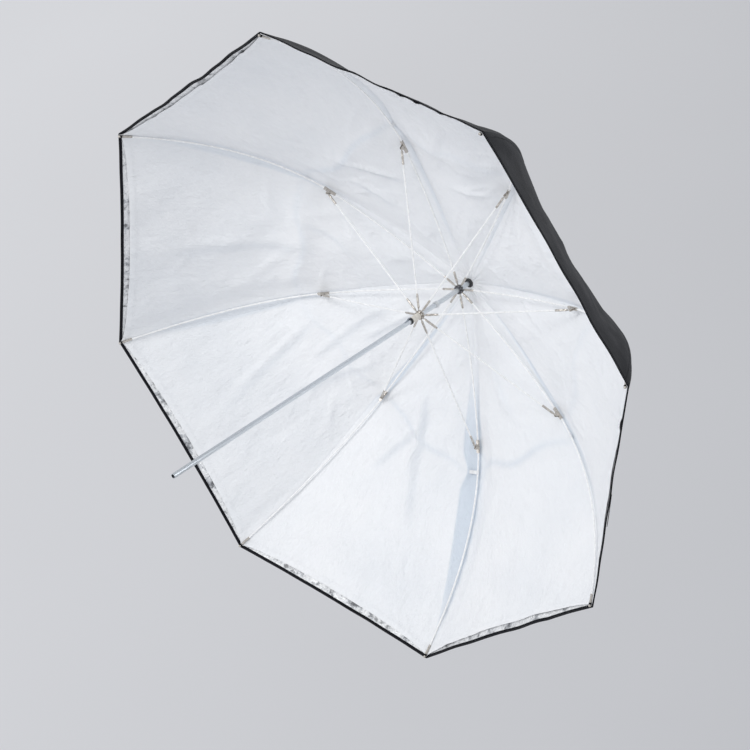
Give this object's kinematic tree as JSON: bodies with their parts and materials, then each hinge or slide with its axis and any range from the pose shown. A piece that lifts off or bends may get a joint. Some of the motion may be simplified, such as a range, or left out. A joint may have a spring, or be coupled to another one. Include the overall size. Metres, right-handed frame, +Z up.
{
  "type": "photographic umbrella reflector",
  "caption": "Convertible photo umbrella: white canopy under a removable black and silver cover, on flexing ribs with a sliding runner and a plain shaft.",
  "frame": {"origin": "on the shaft's axis, where a stand bracket grips it", "axes": "Y along the shaft with the apex at +Y and the bowl open towards -Y, Z up, ribs 22.5 degrees either side of X and Z"},
  "size_m": [0.9896, 0.7266, 0.989],
  "materials": {
    "aluminium_tube": "satin",
    "dark_hub": "satin",
    "nickel": "satin",
    "black_plastic": "matte",
    "clear_ring": "frosted",
    "ivory_nylon": "satin",
    "spring_steel": "satin",
    "fibreglass_rod": "satin",
    "white_cloth": "woven nylon, translucent",
    "silver_cloth": "metallic silver lining",
    "black_cloth": "woven nylon, black outside, silver inside"
  },
  "bodies": {
    "shaft": {"shaft_tube": "aluminium_tube", "crown_notch": "dark_hub", "crown_ring_wire": "nickel", "apex_washer": "black_plastic", "apex_cap": "black_plastic", "stop_ring": "clear_ring"},
    "spring_catch": {"spring_catch": "spring_steel"},
    "runner": {"runner_notch": "nickel", "runner_ring_wire": "nickel", "runner_sleeve": "ivory_nylon", "runner_collar": "black_plastic"},
    "rib_1": {"rib_inner_1": "fibreglass_rod", "joint_clip_1": "nickel"},
    "rib_1_outer": {"rib_outer_1": "fibreglass_rod", "canopy_panel_1": "white_cloth", "cover_panel_1": "black_cloth"},
    "stretcher_1": {"stretcher_1": "fibreglass_rod"},
    "rib_2": {"rib_inner_2": "fibreglass_rod", "joint_clip_2": "nickel"},
    "rib_2_outer": {"rib_outer_2": "fibreglass_rod", "canopy_panel_2": "white_cloth", "cover_panel_2": "black_cloth"},
    "stretcher_2": {"stretcher_2": "fibreglass_rod"},
    "rib_3": {"rib_inner_3": "fibreglass_rod", "joint_clip_3": "nickel"},
    "rib_3_outer": {"rib_outer_3": "fibreglass_rod", "canopy_panel_3": "white_cloth", "cover_panel_3": "black_cloth"},
    "stretcher_3": {"stretcher_3": "fibreglass_rod"},
    "rib_4": {"rib_inner_4": "fibreglass_rod", "joint_clip_4": "nickel"},
    "rib_4_outer": {"rib_outer_4": "fibreglass_rod", "canopy_panel_4": "white_cloth", "cover_panel_4": "black_cloth"},
    "stretcher_4": {"stretcher_4": "fibreglass_rod"},
    "rib_5": {"rib_inner_5": "fibreglass_rod", "joint_clip_5": "nickel"},
    "rib_5_outer": {"rib_outer_5": "fibreglass_rod", "canopy_panel_5": "white_cloth", "cover_panel_5": "black_cloth"},
    "stretcher_5": {"stretcher_5": "fibreglass_rod"},
    "rib_6": {"rib_inner_6": "fibreglass_rod", "joint_clip_6": "nickel"},
    "rib_6_outer": {"rib_outer_6": "fibreglass_rod", "canopy_panel_6": "white_cloth", "cover_panel_6": "black_cloth"},
    "stretcher_6": {"stretcher_6": "fibreglass_rod"},
    "rib_7": {"rib_inner_7": "fibreglass_rod", "joint_clip_7": "nickel"},
    "rib_7_outer": {"rib_outer_7": "fibreglass_rod", "canopy_panel_7": "white_cloth", "cover_panel_7": "black_cloth"},
    "stretcher_7": {"stretcher_7": "fibreglass_rod"},
    "rib_8": {"rib_inner_8": "fibreglass_rod", "joint_clip_8": "nickel"},
    "rib_8_outer": {"rib_outer_8": "fibreglass_rod", "canopy_panel_8": "white_cloth", "cover_panel_8": "black_cloth", "cover_strap": "black_cloth"},
    "stretcher_8": {"stretcher_8": "fibreglass_rod"}
  },
  "joints": [
    {"name": "rib_1_fold", "type": "hinge", "parent": "shaft", "child": "rib_1", "pos_m": [0.00601, 0.48, 0.00249], "axis": [0.3827, 0, -0.9239], "range_deg": [0, 77.6], "deforming": ["canopy_panel_1", "cover_panel_1", "spring_catch"]},
    {"name": "rib_1_flex", "type": "hinge", "parent": "rib_1", "child": "rib_1_outer", "pos_m": [0.25638, 0.43125, 0.10619], "axis": [0.3827, 0, -0.9239], "range_deg": [-35.32, 0]},
    {"name": "stretcher_1_joint", "type": "hinge", "parent": "rib_1", "child": "stretcher_1", "pos_m": [0.24529, 0.428, 0.1016], "axis": [0.3827, 0, -0.9239], "range_deg": [-155.21, 0]},
    {"name": "rib_2_fold", "type": "hinge", "parent": "shaft", "child": "rib_2", "pos_m": [0.00249, 0.48, 0.00601], "axis": [0.9239, 0, -0.3827], "range_deg": [0, 77.6], "deforming": ["canopy_panel_2", "cover_panel_2"]},
    {"name": "rib_2_flex", "type": "hinge", "parent": "rib_2", "child": "rib_2_outer", "pos_m": [0.10619, 0.43125, 0.25638], "axis": [0.9239, 0, -0.3827], "range_deg": [-35.32, 0]},
    {"name": "stretcher_2_joint", "type": "hinge", "parent": "rib_2", "child": "stretcher_2", "pos_m": [0.1016, 0.428, 0.24529], "axis": [0.9239, 0, -0.3827], "range_deg": [-155.21, 0]},
    {"name": "rib_3_fold", "type": "hinge", "parent": "shaft", "child": "rib_3", "pos_m": [-0.00249, 0.48, 0.00601], "axis": [0.9239, 0, 0.3827], "range_deg": [0, 77.6], "deforming": ["canopy_panel_3", "cover_panel_3"]},
    {"name": "rib_3_flex", "type": "hinge", "parent": "rib_3", "child": "rib_3_outer", "pos_m": [-0.10619, 0.43125, 0.25638], "axis": [0.9239, 0, 0.3827], "range_deg": [-35.32, 0]},
    {"name": "stretcher_3_joint", "type": "hinge", "parent": "rib_3", "child": "stretcher_3", "pos_m": [-0.1016, 0.428, 0.24529], "axis": [0.9239, 0, 0.3827], "range_deg": [-155.21, 0]},
    {"name": "rib_4_fold", "type": "hinge", "parent": "shaft", "child": "rib_4", "pos_m": [-0.00601, 0.48, 0.00249], "axis": [0.3827, 0, 0.9239], "range_deg": [0, 77.6], "deforming": ["canopy_panel_4", "cover_panel_4"]},
    {"name": "rib_4_flex", "type": "hinge", "parent": "rib_4", "child": "rib_4_outer", "pos_m": [-0.25638, 0.43125, 0.10619], "axis": [0.3827, 0, 0.9239], "range_deg": [-35.32, 0]},
    {"name": "stretcher_4_joint", "type": "hinge", "parent": "rib_4", "child": "stretcher_4", "pos_m": [-0.24529, 0.428, 0.1016], "axis": [0.3827, 0, 0.9239], "range_deg": [-155.21, 0]},
    {"name": "rib_5_fold", "type": "hinge", "parent": "shaft", "child": "rib_5", "pos_m": [-0.00601, 0.48, -0.00249], "axis": [-0.3827, 0, 0.9239], "range_deg": [0, 77.6], "deforming": ["canopy_panel_5", "cover_panel_5"]},
    {"name": "rib_5_flex", "type": "hinge", "parent": "rib_5", "child": "rib_5_outer", "pos_m": [-0.25638, 0.43125, -0.10619], "axis": [-0.3827, 0, 0.9239], "range_deg": [-35.32, 0]},
    {"name": "stretcher_5_joint", "type": "hinge", "parent": "rib_5", "child": "stretcher_5", "pos_m": [-0.24529, 0.428, -0.1016], "axis": [-0.3827, 0, 0.9239], "range_deg": [-155.21, 0]},
    {"name": "rib_6_fold", "type": "hinge", "parent": "shaft", "child": "rib_6", "pos_m": [-0.00249, 0.48, -0.00601], "axis": [-0.9239, 0, 0.3827], "range_deg": [0, 77.6], "deforming": ["canopy_panel_6", "cover_panel_6"]},
    {"name": "rib_6_flex", "type": "hinge", "parent": "rib_6", "child": "rib_6_outer", "pos_m": [-0.10619, 0.43125, -0.25638], "axis": [-0.9239, 0, 0.3827], "range_deg": [-35.32, 0]},
    {"name": "stretcher_6_joint", "type": "hinge", "parent": "rib_6", "child": "stretcher_6", "pos_m": [-0.1016, 0.428, -0.24529], "axis": [-0.9239, 0, 0.3827], "range_deg": [-155.21, 0]},
    {"name": "rib_7_fold", "type": "hinge", "parent": "shaft", "child": "rib_7", "pos_m": [0.00249, 0.48, -0.00601], "axis": [-0.9239, 0, -0.3827], "range_deg": [0, 77.6], "deforming": ["canopy_panel_7", "cover_panel_7"]},
    {"name": "rib_7_flex", "type": "hinge", "parent": "rib_7", "child": "rib_7_outer", "pos_m": [0.10619, 0.43125, -0.25638], "axis": [-0.9239, 0, -0.3827], "range_deg": [-35.32, 0]},
    {"name": "stretcher_7_joint", "type": "hinge", "parent": "rib_7", "child": "stretcher_7", "pos_m": [0.1016, 0.428, -0.24529], "axis": [-0.9239, 0, -0.3827], "range_deg": [-155.21, 0]},
    {"name": "rib_8_fold", "type": "hinge", "parent": "shaft", "child": "rib_8", "pos_m": [0.00601, 0.48, -0.00249], "axis": [-0.3827, 0, -0.9239], "range_deg": [0, 77.6], "deforming": ["canopy_panel_8", "cover_panel_8", "cover_strap"]},
    {"name": "rib_8_flex", "type": "hinge", "parent": "rib_8", "child": "rib_8_outer", "pos_m": [0.25638, 0.43125, -0.10619], "axis": [-0.3827, 0, -0.9239], "range_deg": [-35.32, 0]},
    {"name": "stretcher_8_joint", "type": "hinge", "parent": "rib_8", "child": "stretcher_8", "pos_m": [0.24529, 0.428, -0.1016], "axis": [-0.3827, 0, -0.9239], "range_deg": [-155.21, 0]},
    {"name": "runner_pivot", "type": "hinge", "parent": "stretcher_1", "child": "runner", "pos_m": [0.00601, 0.376, 0.00249], "axis": [0.3827, 0, -0.9239], "range_deg": [0, 77.61]},
    {"name": "spring_catch_press", "type": "slide", "parent": "shaft", "child": "spring_catch", "axis": [0, 0, -1], "range_m": [0, 0.0032], "stiffness_N_per_m": 400, "springref_m": -0.002}
  ],
  "couplings": [
    {"joint": "rib_1_flex", "follows": "rib_1_fold", "ratio": -0.455},
    {"joint": "stretcher_1_joint", "follows": "rib_1_fold", "ratio": -2},
    {"joint": "rib_2_fold", "follows": "rib_1_fold", "ratio": 1},
    {"joint": "rib_2_flex", "follows": "rib_1_fold", "ratio": -0.455},
    {"joint": "stretcher_2_joint", "follows": "rib_1_fold", "ratio": -2},
    {"joint": "rib_3_fold", "follows": "rib_1_fold", "ratio": 1},
    {"joint": "rib_3_flex", "follows": "rib_1_fold", "ratio": -0.455},
    {"joint": "stretcher_3_joint", "follows": "rib_1_fold", "ratio": -2},
    {"joint": "rib_4_fold", "follows": "rib_1_fold", "ratio": 1},
    {"joint": "rib_4_flex", "follows": "rib_1_fold", "ratio": -0.455},
    {"joint": "stretcher_4_joint", "follows": "rib_1_fold", "ratio": -2},
    {"joint": "rib_5_fold", "follows": "rib_1_fold", "ratio": 1},
    {"joint": "rib_5_flex", "follows": "rib_1_fold", "ratio": -0.455},
    {"joint": "stretcher_5_joint", "follows": "rib_1_fold", "ratio": -2},
    {"joint": "rib_6_fold", "follows": "rib_1_fold", "ratio": 1},
    {"joint": "rib_6_flex", "follows": "rib_1_fold", "ratio": -0.455},
    {"joint": "stretcher_6_joint", "follows": "rib_1_fold", "ratio": -2},
    {"joint": "rib_7_fold", "follows": "rib_1_fold", "ratio": 1},
    {"joint": "rib_7_flex", "follows": "rib_1_fold", "ratio": -0.455},
    {"joint": "stretcher_7_joint", "follows": "rib_1_fold", "ratio": -2},
    {"joint": "rib_8_fold", "follows": "rib_1_fold", "ratio": 1},
    {"joint": "rib_8_flex", "follows": "rib_1_fold", "ratio": -0.455},
    {"joint": "stretcher_8_joint", "follows": "rib_1_fold", "ratio": -2},
    {"joint": "runner_pivot", "follows": "rib_1_fold", "ratio": 1}
  ]
}
